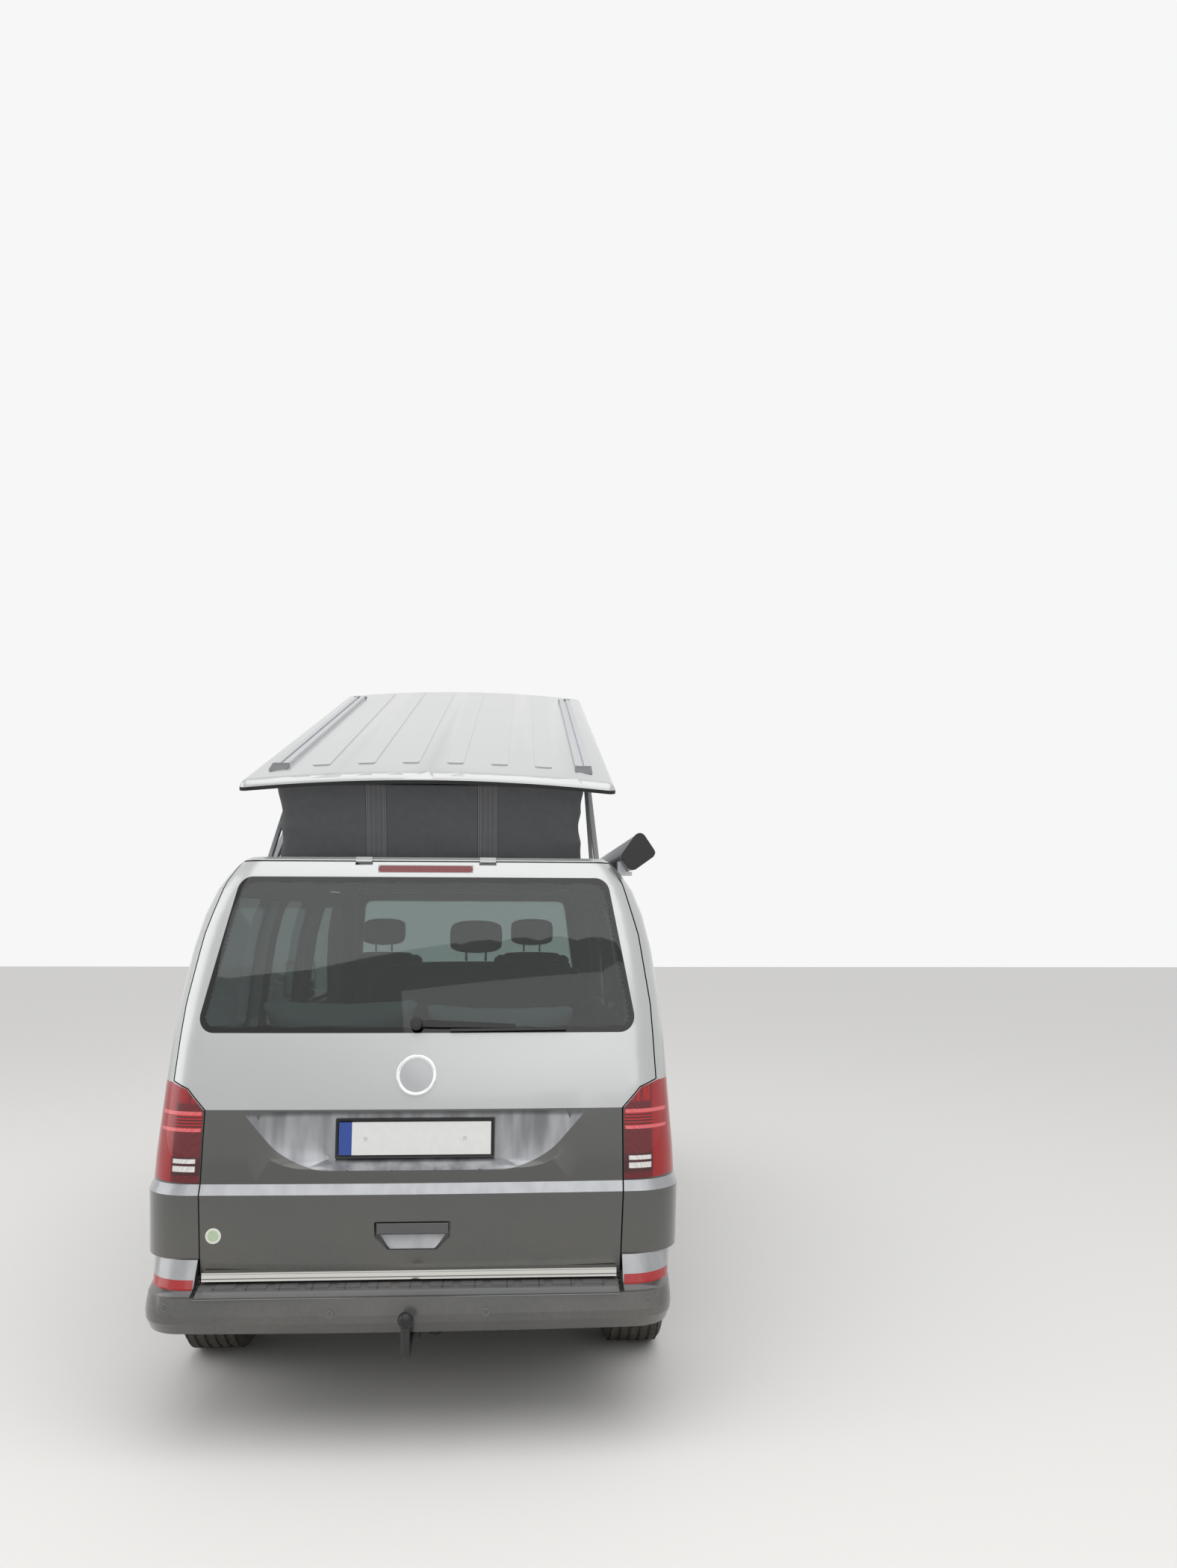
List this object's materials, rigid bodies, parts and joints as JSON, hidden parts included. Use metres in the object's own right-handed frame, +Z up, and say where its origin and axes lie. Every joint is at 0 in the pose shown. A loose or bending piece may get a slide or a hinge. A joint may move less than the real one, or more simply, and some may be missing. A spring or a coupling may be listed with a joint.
{
  "type": "camper van with a raised pop-up roof",
  "caption": "One-box camper van with its pop-up roof raised at the front on two arms, a canvas wall, top-hinged tailgate, roof awning and tow ball.",
  "frame": {"origin": "on the ground, at the centre of the overall length and width", "axes": "+X to the van's right, +Y in the direction of travel, +Z up"},
  "size_m": [2.286, 5.0107, 3.0571],
  "materials": {
    "silver_paint": "silver metallic paint, clear coat",
    "grey_paint": "dark grey metallic paint, clear coat",
    "two_tone_paint": "silver above the belt line and dark grey below",
    "window_glass": "tinted glass",
    "lamp_red": "red lamp lens",
    "lamp_clear": "clear lamp lens",
    "black_plastic": "grained black plastic",
    "bright_trim": "chrome",
    "aluminium": "satin aluminium",
    "chassis_steel": "black coated steel",
    "engine_cast": "cast metal",
    "rubber_tyre": "tyre rubber",
    "canvas": "dark grey coated canvas",
    "seat_cloth": "grey woven cloth",
    "furniture": "light laminate",
    "floor_finish": "cabin floor covering"
  },
  "bodies": {
    "root": {"floor_pan": "floor_finish", "left_side_panel": "two_tone_paint", "right_side_panel": "two_tone_paint", "sliding_door": "two_tone_paint", "side_windows": "window_glass", "windscreen": "window_glass", "rear_header": "silver_paint", "cab_roof": "silver_paint", "roof_frame": "black_plastic", "cab_frame": "silver_paint", "wheel_arch_liners": "black_plastic", "front_wings": "grey_paint", "headlamps": "lamp_clear", "grille": "black_plastic", "front_bumper": "grey_paint", "rear_bumper": "grey_paint", "tail_lamps": "lamp_red", "awning": "aluminium", "front_subframe": "chassis_steel", "front_struts": "chassis_steel", "chassis_rails": "chassis_steel", "rear_subframe": "chassis_steel", "engine_block": "engine_cast", "radiator": "engine_cast", "fuel_tank": "black_plastic", "exhaust": "aluminium", "tow_bar": "chassis_steel", "dashboard": "black_plastic", "front_seats": "seat_cloth", "rear_bench": "seat_cloth", "cabin_units": "furniture", "rear_bed": "seat_cloth"},
    "left_knuckle": {"left_knuckle": "chassis_steel"},
    "right_knuckle": {"right_knuckle": "chassis_steel"},
    "front_left_wheel": {"front_left_tyre": "rubber_tyre", "front_left_rim": "aluminium"},
    "front_right_wheel": {"front_right_tyre": "rubber_tyre", "front_right_rim": "aluminium"},
    "rear_left_wheel": {"rear_left_tyre": "rubber_tyre", "rear_left_rim": "aluminium"},
    "rear_right_wheel": {"rear_right_tyre": "rubber_tyre", "rear_right_rim": "aluminium"},
    "left_front_door": {"left_front_door": "two_tone_paint", "left_door_window": "window_glass", "left_mirror": "grey_paint"},
    "right_front_door": {"right_front_door": "two_tone_paint", "right_door_window": "window_glass", "right_mirror": "grey_paint"},
    "bonnet": {"bonnet": "silver_paint"},
    "tailgate": {"tailgate": "two_tone_paint", "tailgate_glass": "window_glass", "tailgate_trim": "bright_trim", "rear_wiper": "black_plastic"},
    "steering_wheel": {"steering_wheel": "black_plastic"},
    "main_arms": {"main_arms": "aluminium"},
    "roof_lid": {"roof_lid": "silver_paint", "lid_seal": "black_plastic", "roof_rails": "aluminium", "canvas": "canvas"},
    "rear_arms": {"rear_arms": "aluminium"}
  },
  "joints": [
    {"name": "front_left_steer", "type": "hinge", "parent": "root", "child": "left_knuckle", "pos_m": [-0.79, 1.5975, 0.345], "axis": [0, 0, 1], "range_deg": [-35, 35]},
    {"name": "front_right_steer", "type": "hinge", "parent": "root", "child": "right_knuckle", "pos_m": [0.79, 1.5975, 0.345], "axis": [0, 0, 1], "range_deg": [-35, 35]},
    {"name": "steering_wheel_turn", "type": "hinge", "parent": "root", "child": "steering_wheel", "pos_m": [-0.42, 1.0015, 1.075], "axis": [0, 0.8829, -0.4695], "range_deg": [-515, 515]},
    {"name": "front_left_wheel_spin", "type": "hinge", "parent": "left_knuckle", "child": "front_left_wheel", "pos_m": [-0.814, 1.5975, 0.345], "axis": [1, 0, 0], "continuous": true},
    {"name": "front_right_wheel_spin", "type": "hinge", "parent": "right_knuckle", "child": "front_right_wheel", "pos_m": [0.814, 1.5975, 0.345], "axis": [1, 0, 0], "continuous": true},
    {"name": "rear_left_wheel_spin", "type": "hinge", "parent": "root", "child": "rear_left_wheel", "pos_m": [-0.814, -1.4025, 0.345], "axis": [1, 0, 0], "continuous": true},
    {"name": "rear_right_wheel_spin", "type": "hinge", "parent": "root", "child": "rear_right_wheel", "pos_m": [0.814, -1.4025, 0.345], "axis": [1, 0, 0], "continuous": true},
    {"name": "left_front_door_hinge", "type": "hinge", "parent": "root", "child": "left_front_door", "pos_m": [-0.931, 1.1865, 0.6], "axis": [0, 0, -1], "range_deg": [0, 65]},
    {"name": "right_front_door_hinge", "type": "hinge", "parent": "root", "child": "right_front_door", "pos_m": [0.931, 1.1865, 0.6], "axis": [0, 0, 1], "range_deg": [0, 65]},
    {"name": "bonnet_hinge", "type": "hinge", "parent": "root", "child": "bonnet", "pos_m": [0, 1.7565, 1.1335], "axis": [1, 0, 0], "range_deg": [0, 55]},
    {"name": "tailgate_hinge", "type": "hinge", "parent": "root", "child": "tailgate", "pos_m": [0, -2.0075, 1.9195], "axis": [-1, 0, 0], "range_deg": [0, 85]},
    {"name": "roof_lift", "type": "hinge", "parent": "root", "child": "main_arms", "pos_m": [0, -1.51532, 1.914], "axis": [1, 0, 0], "range_deg": [-31.57, 0], "deforming": ["canvas"]},
    {"name": "lid_hinge", "type": "hinge", "parent": "main_arms", "child": "roof_lid", "pos_m": [0, -0.14589, 2.7555], "axis": [1, 0, 0], "range_deg": [-1, 15]},
    {"name": "rear_arm_hinge", "type": "hinge", "parent": "root", "child": "rear_arms", "pos_m": [0, -1.76935, 1.914], "axis": [1, 0, 0], "range_deg": [-39.6, 0]}
  ],
  "couplings": [
    {"joint": "front_right_steer", "follows": "front_left_steer", "ratio": 1},
    {"joint": "steering_wheel_turn", "follows": "front_left_steer", "ratio": -14.6},
    {"joint": "lid_hinge", "follows": "roof_lift", "ratio": -0.44568},
    {"joint": "rear_arm_hinge", "follows": "roof_lift", "ratio": 1.2386}
  ]
}
